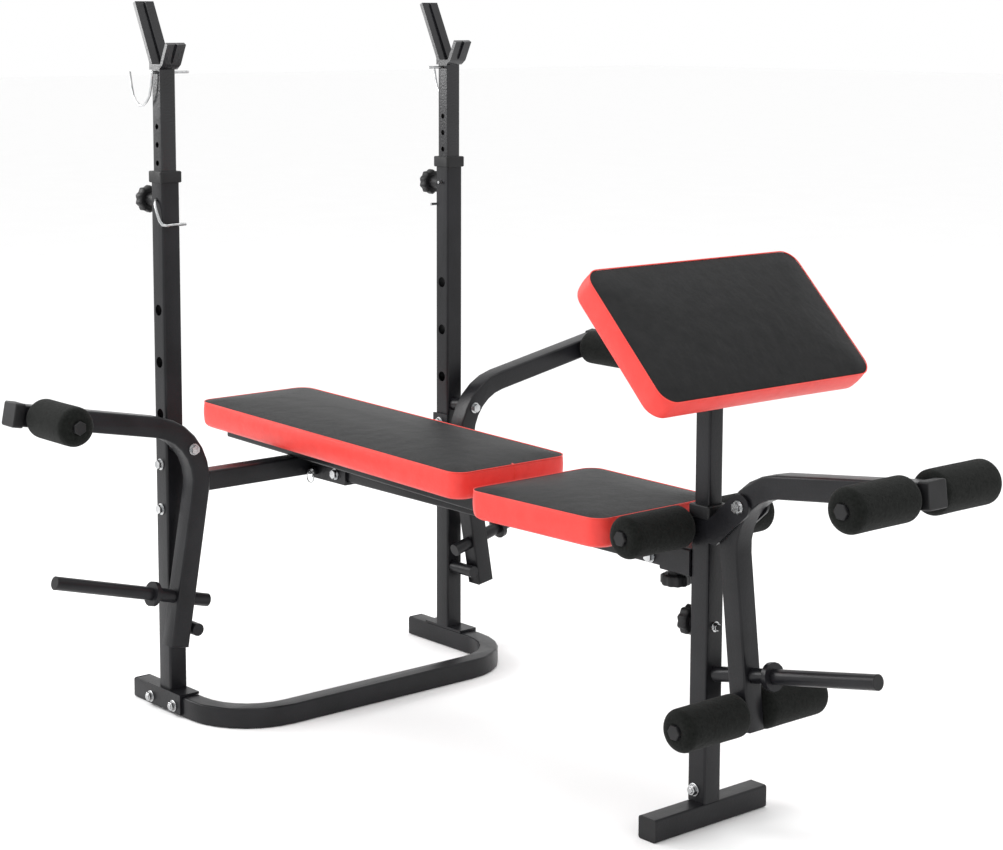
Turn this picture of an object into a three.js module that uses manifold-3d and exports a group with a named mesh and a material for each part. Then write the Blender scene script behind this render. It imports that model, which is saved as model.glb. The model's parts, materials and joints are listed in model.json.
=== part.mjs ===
// An adjustable weight bench with rack uprights, a preacher curl pad, butterfly arms and a leg
// developer. Millimetres, +Z up. The head end is at -X, the leg developer at +X, and "left" is +Y, as
// the person lying down has it.
// Heights are measured from the floor. Lengths along X are measured from the uprights' centre line,
// and the whole bench is then shifted so that the origin is on the floor under the middle of its box.
import * as THREE from "three";
import { mergeVertices } from "three/addons/utils/BufferGeometryUtils.js";
import Module from "manifold-3d";

const wasm = await Module();
wasm.setup();

// ---- Driving dimensions -------------------------------------------------------------------------

const GAP = 0.3; // clearance between pieces that touch
const RUN = 0.5; // radial clearance of a pin, bolt or bar in its hole
const TUBE = 38; // main square tube
const TUBE_WALL = 2;
const HALF = TUBE / 2;
const POST = 32; // inner square tube that telescopes in the main tube
const POST_WALL = 1.5;
const TUBE_CORNER = 4;
const PLATE = 5; // steel plate of the brackets
const BEND_RADIUS = 112; // centre line radius of the bent arms

const HEAD_END = -216.3; // overall ends of the bench along X
const FRONT_END = 1507;
const BASE_END = -109.6; // rear ends of the base tube

const UPRIGHT_Y = 339.3; // uprights' centres, either side of the middle
const UPRIGHT_TOP = 1016;
const UPRIGHT_HOLES = [567.7, 665.1, 762.5]; // heights of the large holes for a backrest bar
const RACK_HOLE_PITCH = 33.4;
const RACK_TRAVEL = 3 * RACK_HOLE_PITCH;
const LOCK_PIN_Z = 967;
const LOCK_PIN_RADIUS = 3;
const RACK_KNOB_Z = 964;
const CRADLE_FLOOR_Z = 1214;
const HOOK_Z = 1199;

const BEAM_Z = 431.5; // centre height of the cross beam and the main beam
const BEAM_TOP = BEAM_Z + HALF;
const BEAM_BOLT_Z = 425;
const PLATE_BOLTS = { lower: 388, upper: 473 }; // heights of the cross beam's bolts

const FRONT_POST_X = 1054.8;
const FRONT_POST_TOP = 524;
const CURL_KNOB_Z = 331;
const BOLT = 5; // radius of a bolt's shank
const BOLT_HOLE = BOLT + RUN;
const CURL_TRAVEL = 100;

const BACK_TILT = 0.0253; // the backrest lies about a degree and a half head up
const BACK_HINGE = { x: 572, z: 458.5 };
const BACK_LENGTH = 803;
const BACK_OVERHANG = 14; // pad past the hinge, towards the seat
const BACK_WIDTH = 265;
const PAD_HEIGHT = 50;
const PAD_CROWN = 6;
const PAD_CORNER = 28;
const BOARD = 8; // plywood under each cushion
const PAD_UNDERSIDE = 10.3; // backrest pad's underside above its hinge

const SEAT = { rear: 632, front: 945, rearHalf: 151, frontHalf: 129, underside: 452 };

const CURL_TILT = THREE.MathUtils.degToRad(45.4);
const CURL_PAD = { length: 256.5, width: 472, height: 47, x: 1065.3, z: 791.6 };

const LEG_HINGE = { x: 1142, z: 541.5 };
const LEG_ARM = [[1148, 179], [1102.9, 570], [1500.5, 618.8]]; // centre line in X and Z, foot to end
const FLY_PIVOT = { y: 339.3, z: 511.5 };
const FLY_ARM = [[373.5, 142], [304.9, 538.9], [702, 616.3]]; // centre line in outward Y and Z
const FLY_X = 63; // plane of the butterfly arms

const ROLLER_RADIUS = 35;
const BAR_RADIUS = 12.5; // roller bars and weight pegs
const SEAT_ROLLER = { x: 1023.8, z: 490.7 };
const LOWER_ROLLER = { x: 1146.5, z: 208.8 };
const END_ROLLER = { x: 1466.7, z: 611.7 };
const FLY_ROLLER = { y: 655, z: 608 };

const SIDES = [["left", 1], ["right", -1]];

// ---- Materials ----------------------------------------------------------------------------------

const paint = () => new THREE.MeshStandardMaterial({ color: 0x1b1b1d, roughness: 0.5, metalness: 0.3 });
const plastic = () => new THREE.MeshStandardMaterial({ color: 0x161617, roughness: 0.55, metalness: 0 });
const chrome = () => new THREE.MeshStandardMaterial({ color: 0xc8cacd, roughness: 0.2, metalness: 1 });
const foam = () => new THREE.MeshStandardMaterial({ color: 0x151515, roughness: 0.95, metalness: 0 });
const vinyl = () => new THREE.MeshStandardMaterial({ color: 0xc92b22, roughness: 0.45, metalness: 0 });
const board = () => new THREE.MeshStandardMaterial({ color: 0x1c1a19, roughness: 0.8, metalness: 0 });

// ---- Solids: geometry to and from the boolean library -------------------------------------------

// A closed geometry as a solid: shared corners merged, and triangles that collapsed to a line left out.
function solid(geometry) {
  const bare = geometry.clone();
  bare.deleteAttribute("normal");
  bare.deleteAttribute("uv");
  const merged = mergeVertices(bare, 1e-4);
  const corners = merged.index.array;
  const kept = [];
  for (let i = 0; i < corners.length; i += 3) {
    const [a, b, c] = [corners[i], corners[i + 1], corners[i + 2]];
    if (a !== b && b !== c && c !== a) kept.push(a, b, c);
  }
  const vertProperties = new Float32Array(merged.attributes.position.array);
  const triVerts = new Uint32Array(kept);
  return new wasm.Manifold(new wasm.Mesh({ numProp: 3, vertProperties, triVerts }));
}

function geometryOf(body) {
  const mesh = body.asOriginal().getMesh();
  const geometry = new THREE.BufferGeometry();
  geometry.setAttribute("position", new THREE.BufferAttribute(mesh.vertProperties, 3));
  geometry.setIndex(new THREE.BufferAttribute(mesh.triVerts, 1));
  geometry.computeVertexNormals();
  return geometry;
}

const joined = (...bodies) => bodies.reduce((sum, body) => sum.add(body));
const cut = (body, ...tools) => tools.reduce((left, tool) => left.subtract(tool), body);

// ---- Basic shapes -------------------------------------------------------------------------------

// A box given by its low and high corners.
function box(low, high) {
  const size = high.map((value, i) => value - low[i]);
  const middle = high.map((value, i) => (value + low[i]) / 2);
  return solid(new THREE.BoxGeometry(...size).translate(...middle));
}

// A round bar between two points. With six sides it is a hexagon.
function rod(start, end, radius, sides = radius > 8 ? 12 : 8) {
  const axis = new THREE.Vector3(...end).sub(new THREE.Vector3(...start));
  const geometry = new THREE.CylinderGeometry(radius, radius, axis.length(), sides);
  geometry.translate(0, axis.length() / 2, 0);
  const turn = new THREE.Quaternion().setFromUnitVectors(THREE.Object3D.DEFAULT_UP, axis.normalize());
  geometry.applyQuaternion(turn);
  return solid(geometry.translate(...start));
}

function roundedRectangle(width, height, corner) {
  const x = width / 2 - corner;
  const y = height / 2 - corner;
  const shape = new THREE.Shape();
  shape.absarc(x, y, corner, 0, Math.PI / 2);
  shape.absarc(-x, y, corner, Math.PI / 2, Math.PI);
  shape.absarc(-x, -y, corner, Math.PI, 1.5 * Math.PI);
  shape.absarc(x, -y, corner, 1.5 * Math.PI, 2 * Math.PI);
  return shape;
}

// Which way a flat outline's own x, y and thickness point.
const IN_PLANE = {
  xy: new THREE.Matrix4(),
  xz: new THREE.Matrix4().makeBasis(
    new THREE.Vector3(1, 0, 0), new THREE.Vector3(0, 0, 1), new THREE.Vector3(0, -1, 0)),
  yz: new THREE.Matrix4().makeBasis(
    new THREE.Vector3(0, 1, 0), new THREE.Vector3(0, 0, 1), new THREE.Vector3(1, 0, 0)),
};

// A flat outline given thickness, centred on its plane, with its rims rounded by the bevel.
function plate(shape, thickness, plane = "xy", bevel = 0, curveSegments = 1, bevelSegments = 1) {
  const geometry = new THREE.ExtrudeGeometry(shape, {
    depth: thickness - 2 * bevel,
    bevelEnabled: bevel > 0,
    bevelSize: bevel,
    bevelThickness: bevel,
    bevelOffset: -bevel,
    bevelSegments,
    curveSegments,
  });
  geometry.translate(0, 0, bevel - thickness / 2);
  return solid(geometry.applyMatrix4(IN_PLANE[plane]));
}

// A straight square tube, open at both ends, along "x", "y" or "z" from start to end.
function squareTube(axis, start, end, size, wall, height = size) {
  const shape = roundedRectangle(size, height, TUBE_CORNER);
  const bore = roundedRectangle(size - 2 * wall, height - 2 * wall, 1);
  shape.holes.push(new THREE.Path(bore.getPoints(1).reverse()));
  const depth = end - start;
  const geometry = new THREE.ExtrudeGeometry(shape, { depth, bevelEnabled: false, curveSegments: 1 });
  geometry.translate(0, 0, start);
  if (axis === "x") geometry.applyMatrix4(IN_PLANE.yz);
  if (axis === "y") geometry.applyMatrix4(IN_PLANE.xz).rotateZ(Math.PI);
  return solid(geometry);
}

// The outline of a bar that follows a line of corners, turning each inner corner on an arc.
function barOutline(corners, radius, halfWidth, steps = 7) {
  const left = [];
  const right = [];
  const points = corners.map(([x, y]) => new THREE.Vector2(x, y));
  const across = (a, b) => b.clone().sub(a).normalize().rotateAround(new THREE.Vector2(), Math.PI / 2);
  const add = (centre, normal) => {
    left.push(centre.clone().addScaledVector(normal, halfWidth));
    right.push(centre.clone().addScaledVector(normal, -halfWidth));
  };
  add(points[0], across(points[0], points[1]));
  for (let i = 1; i < points.length - 1; i += 1) {
    const before = across(points[i - 1], points[i]);
    const after = across(points[i], points[i + 1]);
    const turn = Math.atan2(before.cross(after), before.dot(after));
    const side = Math.sign(turn);
    const tangent = points[i - 1].clone().sub(points[i]).setLength(radius * Math.tan(Math.abs(turn) / 2));
    const arcCentre = points[i].clone().add(tangent).addScaledVector(before, side * radius);
    for (let k = 0; k <= steps; k += 1) {
      const normal = before.clone().rotateAround(new THREE.Vector2(), (turn * k) / steps);
      add(arcCentre.clone().addScaledVector(normal, -side * radius), normal);
    }
  }
  const last = points.length - 1;
  add(points[last], across(points[last - 1], points[last]));
  return new THREE.Shape([...left, ...right.reverse()]);
}

// A bent square tube. openStart leaves its first end open, and its last end is always open.
function bentTube(corners, radius, plane, openStart = true) {
  const past = (from, end, distance) => {
    const shift = new THREE.Vector2(...end).sub(new THREE.Vector2(...from)).setLength(distance);
    return [end[0] + shift.x, end[1] + shift.y];
  };
  const count = corners.length;
  const hollow = [
    past(corners[1], corners[0], openStart ? 1 : -TUBE_WALL),
    ...corners.slice(1, -1),
    past(corners[count - 2], corners[count - 1], 1),
  ];
  const outside = plate(barOutline(corners, radius, HALF), TUBE, plane, TUBE_CORNER - 1);
  const inside = plate(barOutline(hollow, radius, HALF - TUBE_WALL), TUBE - 2 * TUBE_WALL, plane);
  return outside.subtract(inside);
}

// A solid of revolution: radius and height pairs around +Z.
function turned(profile, segments) {
  const points = profile.map(([radius, height]) => new THREE.Vector2(radius, height));
  return solid(new THREE.LatheGeometry(points, segments).rotateX(Math.PI / 2));
}

// A round wire along a smooth curve through the points.
function wire(points, radius, steps) {
  const corners = points.map((point) => new THREE.Vector3(...point));
  const path = new THREE.CatmullRomCurve3(corners, false, "centripetal");
  const section = new THREE.Shape().absarc(0, 0, radius, 0, 2 * Math.PI);
  return solid(new THREE.ExtrudeGeometry(section, { steps, extrudePath: path, curveSegments: 4 }));
}

// ---- Repeated pieces ----------------------------------------------------------------------------

// A bolt from head to nut with a washer each side, clamping what lies between the two points.
function bolt(headFace, nutFace, washerRadius = 11) {
  const washer = 2;
  const hexRadius = 8.7;
  const axis = new THREE.Vector3(...nutFace).sub(new THREE.Vector3(...headFace)).normalize();
  const out = (point, distance) => new THREE.Vector3(...point).addScaledVector(axis, distance).toArray();
  return joined(
    rod(out(headFace, -GAP - washer - 6), out(nutFace, GAP + washer + 10), BOLT, 8),
    rod(out(headFace, -GAP - washer), out(headFace, -GAP), washerRadius),
    rod(out(headFace, -GAP - washer - 6.5), out(headFace, -GAP - washer), hexRadius, 6),
    rod(out(nutFace, GAP), out(nutFace, GAP + washer), washerRadius),
    rod(out(nutFace, GAP + washer), out(nutFace, GAP + washer + 8), hexRadius, 6),
  );
}

// A lobed hand knob with its screw, pointing along +Z. z = 0 is the face that its hub bears on.
function knob(screwLength, hubLength = 8) {
  const headThickness = 18;
  const lobes = 10;
  const outline = [];
  for (let i = 0; i < lobes * 4; i += 1) {
    const angle = (2 * Math.PI * i) / (lobes * 4);
    const reach = 24 + 1.5 * Math.cos(lobes * angle);
    outline.push(new THREE.Vector2(reach * Math.cos(angle), reach * Math.sin(angle)));
  }
  const head = plate(new THREE.Shape(outline), headThickness, "xy", 3)
    .translate([0, 0, -hubLength - headThickness / 2]);
  const start = [0, 0, -hubLength - 1];
  return joined(head, rod(start, [0, 0, -GAP], 13), rod(start, [0, 0, screwLength], BOLT, 8));
}

// A foam roller around +Z from 0 to its length, with rounded ends and a bore for its bar.
function roller(length) {
  const bore = BAR_RADIUS + RUN;
  const round = 12;
  const profile = [[bore, 0]];
  for (let i = 0; i <= 2; i += 1) {
    const angle = (Math.PI / 2) * (i / 2);
    profile.push([ROLLER_RADIUS - round + round * Math.sin(angle), round - round * Math.cos(angle)]);
  }
  const upper = profile.slice().reverse().map(([radius, height]) => [radius, length - height]);
  return turned([...profile, ...upper, profile[0]], 14);
}

// A roller bar along Y with a hexagonal plug in each end.
function rollerBar(x, z, halfLength) {
  return joined(
    rod([x, -halfLength, z], [x, halfLength, z], BAR_RADIUS),
    rod([x, -halfLength - 6, z], [x, halfLength + 6, z], BAR_RADIUS - 1, 6),
  );
}

// A weight peg from its inner end to its tip, with a stop collar, bored hollow from the tip.
function peg(inner, tip, collarAt) {
  const axis = new THREE.Vector3(...tip).sub(new THREE.Vector3(...inner)).normalize();
  const along = (distance) => new THREE.Vector3(...inner).addScaledVector(axis, distance).toArray();
  const length = new THREE.Vector3(...tip).distanceTo(new THREE.Vector3(...inner));
  const shaft = joined(rod(inner, tip, BAR_RADIUS), rod(along(collarAt), along(collarAt + 9), 23, 16));
  return shaft.subtract(rod(along(collarAt + 12), along(length + 1), BAR_RADIUS - 2));
}

// The plastic bush on top of a main tube, with a window for the inner post. z = 0 is its lower edge.
function collar(tubeTop) {
  const height = 21;
  return cut(
    plate(roundedRectangle(46, 46, 5), height, "xy", 1.5).translate([0, 0, height / 2]),
    box([-HALF - GAP, -HALF - GAP, -1], [HALF + GAP, HALF + GAP, tubeTop + GAP]),
    box([-POST / 2 - GAP, -POST / 2 - GAP, 0], [POST / 2 + GAP, POST / 2 + GAP, height + 1]),
  );
}

// The cap that slips over the end of a bent arm. The arm points along +X and ends at x = 0.
function armCap() {
  const size = TUBE + 5;
  return cut(
    plate(roundedRectangle(size, size, 4), 20, "yz", 1.5).translate([-6, 0, 0]),
    box([-20, -HALF - GAP, -HALF - GAP], [GAP, HALF + GAP, HALF + GAP]),
  );
}

// A flat plug in the end of a square tube that ends at x = 0 and opens towards -X.
function tubePlug() {
  const inner = HALF - TUBE_WALL - GAP;
  return joined(
    plate(roundedRectangle(TUBE, TUBE, TUBE_CORNER), 1.7, "yz").translate([-1.15, 0, 0]),
    box([-1, -inner, -inner], [12, inner, inner]),
  );
}

// A cushion lying on z = 0, with a pocket in its underside for the board.
function cushion(outline, pocketOutline, height) {
  const pad = plate(outline, height + PAD_CROWN, "xy", 6, 2).translate([0, 0, (height + PAD_CROWN) / 2]);
  return pad.subtract(plate(pocketOutline, 2 * BOARD + 1));
}

// ---- Scene --------------------------------------------------------------------------------------

const bench = new THREE.Group();
bench.position.x = -(HEAD_END + FRONT_END) / 2;

function piece(parent, name, material, body, position = [0, 0, 0]) {
  const mesh = new THREE.Mesh(geometryOf(body), material);
  mesh.name = name;
  mesh.position.set(...position);
  parent.add(mesh);
  return mesh;
}

// ---- Rear base ----------------------------------------------------------------------------------

function buildRearBase() {
  const front = 204;
  const ends = BASE_END + 2;
  const line = [[ends, -UPRIGHT_Y], [front, -UPRIGHT_Y], [front, UPRIGHT_Y], [ends, UPRIGHT_Y]];
  piece(bench, "rear_base", paint(), bentTube(line, 122, "xy"), [0, 0, HALF]);
  for (const [name, side] of SIDES) {
    piece(bench, `rear_base_plug_${name}`, plastic(), tubePlug(), [ends, side * UPRIGHT_Y, HALF]);
  }
}

// ---- Rack uprights ------------------------------------------------------------------------------

// Built at the upright's foot, with outward the sign of Y that points away from the bench.
function uprightBody(outward) {
  const out = (inner, outer) => [inner * outward, outer * outward].sort((a, b) => a - b);
  const slab = (x, y, z) => box([x[0], y[0], z[0]], [x[1], y[1], z[1]]);
  const plateTop = 43;
  const plateReach = [-53, 59];
  const spacer = rod([HALF - 1, 0, FLY_PIVOT.z], [FLY_X - HALF - GAP, 0, FLY_PIVOT.z], 14);
  const armRest = rod([HALF - 1, -3.3 * outward, 170], [84, -3.3 * outward, 170], 12);
  const through = (z, radius) => rod([0, -HALF - 1, z], [0, HALF + 1, z], radius);
  return cut(
    joined(
      squareTube("z", plateTop - 1, UPRIGHT_TOP, TUBE, TUBE_WALL),
      slab(plateReach, out(-HALF, HALF + PLATE), [TUBE + GAP, plateTop]),
      slab(plateReach, out(HALF + GAP, HALF + PLATE), [PLATE, plateTop]),
      spacer,
      armRest,
    ),
    ...UPRIGHT_HOLES.map((z) => through(z, 10.5)),
    ...Object.values(PLATE_BOLTS).map((z) => through(z, BOLT_HOLE)),
    through(LOCK_PIN_Z, LOCK_PIN_RADIUS + 1),
    rod([-HALF - 1, 0, RACK_KNOB_Z], [0, 0, RACK_KNOB_Z], BOLT_HOLE),
    rod([-HALF - 1, 0, FLY_PIVOT.z], [FLY_X, 0, FLY_PIVOT.z], BOLT_HOLE),
  );
}

// The fork that holds the barbell: a tall rear arm and a short front arm, each stiffened by a rib.
function cradleBody() {
  const lean = THREE.MathUtils.degToRad(26);
  const floor = CRADLE_FLOOR_Z;
  const tall = [-6 - 114 * Math.tan(lean), floor + 114];
  const short = [20 + 39 * Math.tan(lean), floor + 39];
  const thick = [8 * Math.cos(lean), 8 * Math.sin(lean)];
  const outlined = (points) => new THREE.Shape(points.map(([x, z]) => new THREE.Vector2(x, z)));
  const fork = outlined([
    [20, floor], short, [short[0] + thick[0], short[1] - thick[1]],
    [28, floor - 1], [POST / 2, floor - 10], [-POST / 2, floor - 10], [-POST / 2, floor + 3],
    [tall[0] - thick[0], tall[1] - thick[1]], tall, [-6, floor],
  ]);
  const tallRib = outlined([[-8, floor + 2], tall, [tall[0] + 6, tall[1] - 4], [-2, floor + 2]]);
  const shortRib = outlined([[28, floor], short, [short[0] + 12, short[1] - 4], [34, floor + 3]]);
  return joined(plate(fork, 40, "xz"), plate(tallRib, 3, "xz"), plate(shortRib, 3, "xz"));
}

function rackPostBody() {
  const bottom = 800;
  const through = (z, radius) => rod([0, -HALF, z], [0, HALF, z], radius);
  const slotHalf = LOCK_PIN_RADIUS + RUN;
  const slotBottom = LOCK_PIN_Z - RACK_TRAVEL - slotHalf;
  return cut(
    joined(squareTube("z", bottom, CRADLE_FLOOR_Z - 6, POST, POST_WALL), cradleBody()),
    ...[2, 3, 4].map((row) => through(LOCK_PIN_Z + row * RACK_HOLE_PITCH, 5.5)),
    through(HOOK_Z, 3.2),
    box([-slotHalf, -HALF, slotBottom], [slotHalf, HALF, LOCK_PIN_Z + slotHalf]),
  );
}

// The L-shaped pin that locks the rack height: its shaft runs along Y and its clip wraps the upright.
function lockPinBody(outward, forward) {
  const [inner, outer, clip, drop] = [-28 * outward, 24.5 * outward, 23.5 * forward, LOCK_PIN_Z - 46];
  const shaft = [[0, inner, LOCK_PIN_Z], [0, 0, LOCK_PIN_Z], [0, 0.8 * outer, LOCK_PIN_Z]];
  const leg = [[0.15 * clip, outer, LOCK_PIN_Z - 5], [0.85 * clip, outer, drop + 6]];
  const foot = [[clip, 0.8 * outer, drop], [clip, 0, drop], [clip, inner, drop]];
  return wire([...shaft, ...leg, ...foot], LOCK_PIN_RADIUS, 18);
}

// The bar retainer: a pin through the post, with a hook of wire hanging outside it.
function safetyHookBody(outward) {
  const plane = 24 * outward;
  const bend = [[0, 1], [-3, -16], [-12, -45], [-38, -62], [-62, -49], [-77, 0]];
  const hook = wire(bend.map(([x, z]) => [x, plane, HOOK_Z + z]), 2.3, 11);
  const pin = rod([0, -54 * outward, HOOK_Z], [0, plane, HOOK_Z], 2.7, 12);
  const elbow = solid(new THREE.SphereGeometry(2.8, 8, 6).translate(0, plane, HOOK_Z));
  return joined(hook, pin, elbow);
}

function buildUprights() {
  for (const [name, outward] of SIDES) {
    const place = new THREE.Group();
    place.position.y = outward * UPRIGHT_Y;
    bench.add(place);
    piece(place, `upright_${name}`, paint(), uprightBody(outward));
    piece(place, `upright_collar_${name}`, plastic(), collar(18), [0, 0, UPRIGHT_TOP - 18]);
    piece(place, `rack_post_${name}`, paint(), rackPostBody());
    piece(place, `lock_pin_${name}`, chrome(), lockPinBody(outward, -outward));
    piece(place, `safety_hook_${name}`, chrome(), safetyHookBody(outward));
    const turn = piece(place, `rack_knob_${name}`, plastic(), knob(TUBE_WALL, 30), [-HALF, 0, RACK_KNOB_Z]);
    turn.rotation.y = Math.PI / 2;
    for (const [height, z] of Object.entries(PLATE_BOLTS)) {
      const outer = [0, outward * HALF, z];
      const inner = [0, -outward * (HALF + PLATE), z];
      const body = outward < 0 ? bolt(outer, inner) : bolt(inner, outer);
      piece(place, `cross_beam_bolt_${height}_${name}`, chrome(), body);
    }
  }
}

// ---- Cross beam and main beam -------------------------------------------------------------------

const PULL_PIN = { x: 32, z: 422 };
const BRACKET_BOLT_X = 95;
const FRONT_BOLT_X = 945;
const SLEEVE = { rear: 970, size: 46, bore: 38.8, knobX: 985 };

function buildCrossBeam() {
  const inside = UPRIGHT_Y - HALF - GAP;
  const bracket = HALF + 0.5;
  const bracketBottom = 407;
  const sheet = 4.5; // thickness of the end plates and of the bracket
  const slab = (x, y, z) => box([x[0], y, z[0]], [x[1], y + sheet, z[1]]);
  const body = joined(
    squareTube("y", -inside + 4, inside - 4, TUBE, TUBE_WALL).translate([0, 0, BEAM_Z]),
    slab([-22, 22], inside - sheet, [372, 491]),
    slab([-22, 22], -inside, [372, 491]),
    slab([HALF - 1, 125], bracket, [bracketBottom, BEAM_TOP]),
    slab([HALF - 1, 125], -bracket - sheet, [bracketBottom, BEAM_TOP]),
    box([HALF - 1, -bracket - 1, bracketBottom], [125, bracket + 1, BEAM_Z - HALF - GAP]),
    rod([PULL_PIN.x, -bracket - 12, PULL_PIN.z], [PULL_PIN.x, -bracket, PULL_PIN.z], 8),
  );
  const across = (x, z, radius) => rod([x, -60, z], [x, 60, z], radius);
  const holes = [
    across(PULL_PIN.x, PULL_PIN.z, 4 + RUN),
    across(BRACKET_BOLT_X, BEAM_BOLT_Z, BOLT_HOLE),
  ];
  for (const [, side] of SIDES) {
    for (const z of [...Object.values(PLATE_BOLTS), BEAM_Z]) {
      holes.push(rod([0, side * (inside - 6), z], [0, side * (inside + 1), z], BOLT_HOLE));
    }
  }
  piece(bench, "cross_beam", paint(), cut(body, ...holes));
}

function buildMainBeam() {
  const across = (x, z, radius) => rod([x, -HALF - 1, z], [x, HALF + 1, z], radius);
  const seatStrap = (x) => box([x - 15, -105, BEAM_TOP - 3.5], [x + 15, 105, BEAM_TOP + 1]);
  const barrel = (radius, half) => rod(
    [BACK_HINGE.x, -half, BACK_HINGE.z], [BACK_HINGE.x, half, BACK_HINGE.z], radius);
  const body = joined(
    squareTube("x", HALF + 1.3, 1031, TUBE, TUBE_WALL).translate([0, 0, BEAM_Z]),
    seatStrap(705),
    seatStrap(875),
    barrel(9.5, 39.5),
  );
  piece(bench, "main_beam", paint(), cut(
    body,
    barrel(BOLT_HOLE, 45),
    across(PULL_PIN.x, PULL_PIN.z, 4 + RUN),
    across(BRACKET_BOLT_X, BEAM_BOLT_Z, BOLT_HOLE),
    across(FRONT_BOLT_X, BEAM_BOLT_Z, BOLT_HOLE),
  ));
  const throughBolt = (x, half) => bolt([x, -half, BEAM_BOLT_Z], [x, half, BEAM_BOLT_Z]);
  piece(bench, "main_beam_bolt", chrome(), throughBolt(BRACKET_BOLT_X, HALF + 5));
  piece(bench, "front_beam_bolt", chrome(), throughBolt(FRONT_BOLT_X, HALF));
}

// The spring pin that locks the main beam in its bracket, and the ring that pulls it.
function buildPullPin() {
  const { x, z } = PULL_PIN;
  const eyeY = -38.5;
  const pin = cut(
    joined(
      rod([x, -12, z], [x, -34, z], 4),
      rod([x, -32, z], [x, -35, z], 6),
      box([x - 1.5, eyeY - 4, z - 5], [x + 1.5, -34, z + 5]),
    ),
    rod([x - 3, eyeY, z], [x + 3, eyeY, z], 1.9, 12),
  );
  piece(bench, "pull_pin", chrome(), pin);
  const ringRadius = 11;
  const ring = solid(new THREE.TorusGeometry(ringRadius, 1.2, 6, 16).rotateX(Math.PI / 2));
  piece(bench, "pull_ring", chrome(), ring, [x, eyeY, z - ringRadius]);
}

// ---- Backrest -----------------------------------------------------------------------------------

// Built in the backrest's own frame: x = 0, z = 0 on its hinge, x towards the seat, z square to the pad.
function buildBackrest() {
  const back = new THREE.Group();
  back.position.set(BACK_HINGE.x, 0, BACK_HINGE.z);
  back.rotation.y = BACK_TILT;
  bench.add(back);

  const head = BACK_OVERHANG - BACK_LENGTH;
  const top = PAD_UNDERSIDE - GAP;
  const railHeight = 31.6;
  const rail = (side) => squareTube("x", head + 3, BACK_OVERHANG - 1, 25, 1.5, railHeight)
    .translate([0, side * 52.5, top - railHeight / 2]);
  const tie = (x) => box([x - 20, -42, top - 5], [x + 20, 42, top]);
  piece(back, "back_frame", paint(), cut(
    joined(rail(1), rail(-1), tie(-729), tie(-400), tie(-67)),
    rod([0, -70, 0], [0, 70, 0], BOLT_HOLE),
  ));
  piece(back, "back_hinge_bolt", chrome(), bolt([0, -65.3, 0], [0, 65.3, 0], 9.5));

  const middle = [head + BACK_LENGTH / 2, 0, PAD_UNDERSIDE];
  const inset = (by) => roundedRectangle(BACK_LENGTH - 2 * by, BACK_WIDTH - 2 * by, PAD_CORNER - by);
  piece(back, "back_pad", vinyl(), cushion(inset(0), inset(14), PAD_HEIGHT), middle);
  piece(back, "back_board", board(), plate(inset(15), BOARD).translate([0, 0, BOARD / 2]), middle);
}

// ---- Seat ---------------------------------------------------------------------------------------

// The seat narrows towards the front. The outline is drawn in from the edge by the inset.
function seatOutline(inset) {
  const { rear, front, rearHalf, frontHalf } = SEAT;
  const half = (front - rear) / 2;
  const slope = (rearHalf - frontHalf) / (front - rear);
  const widthAt = (x) => (rearHalf + frontHalf) / 2 - slope * x - inset;
  const corner = PAD_CORNER - inset;
  const lean = Math.atan(slope);
  const shape = new THREE.Shape();
  const turn = (x, side, from, to) => {
    const centreY = side * (widthAt(x) - corner / Math.cos(lean));
    shape.absarc(x, centreY, corner, from, to);
  };
  const [xFront, xRear] = [half - inset - corner, -half + inset + corner];
  turn(xFront, 1, 0, Math.PI / 2 - lean);
  turn(xRear, 1, Math.PI / 2 - lean, Math.PI);
  turn(xRear, -1, Math.PI, 1.5 * Math.PI + lean);
  turn(xFront, -1, 1.5 * Math.PI + lean, 2 * Math.PI);
  return shape;
}

function buildSeat() {
  const middle = [(SEAT.rear + SEAT.front) / 2, 0, SEAT.underside];
  piece(bench, "seat_pad", vinyl(), cushion(seatOutline(0), seatOutline(14), PAD_HEIGHT), middle);
  piece(bench, "seat_board", board(), plate(seatOutline(15), BOARD).translate([0, 0, BOARD / 2]), middle);
}

// ---- Front post and foot ------------------------------------------------------------------------

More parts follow.
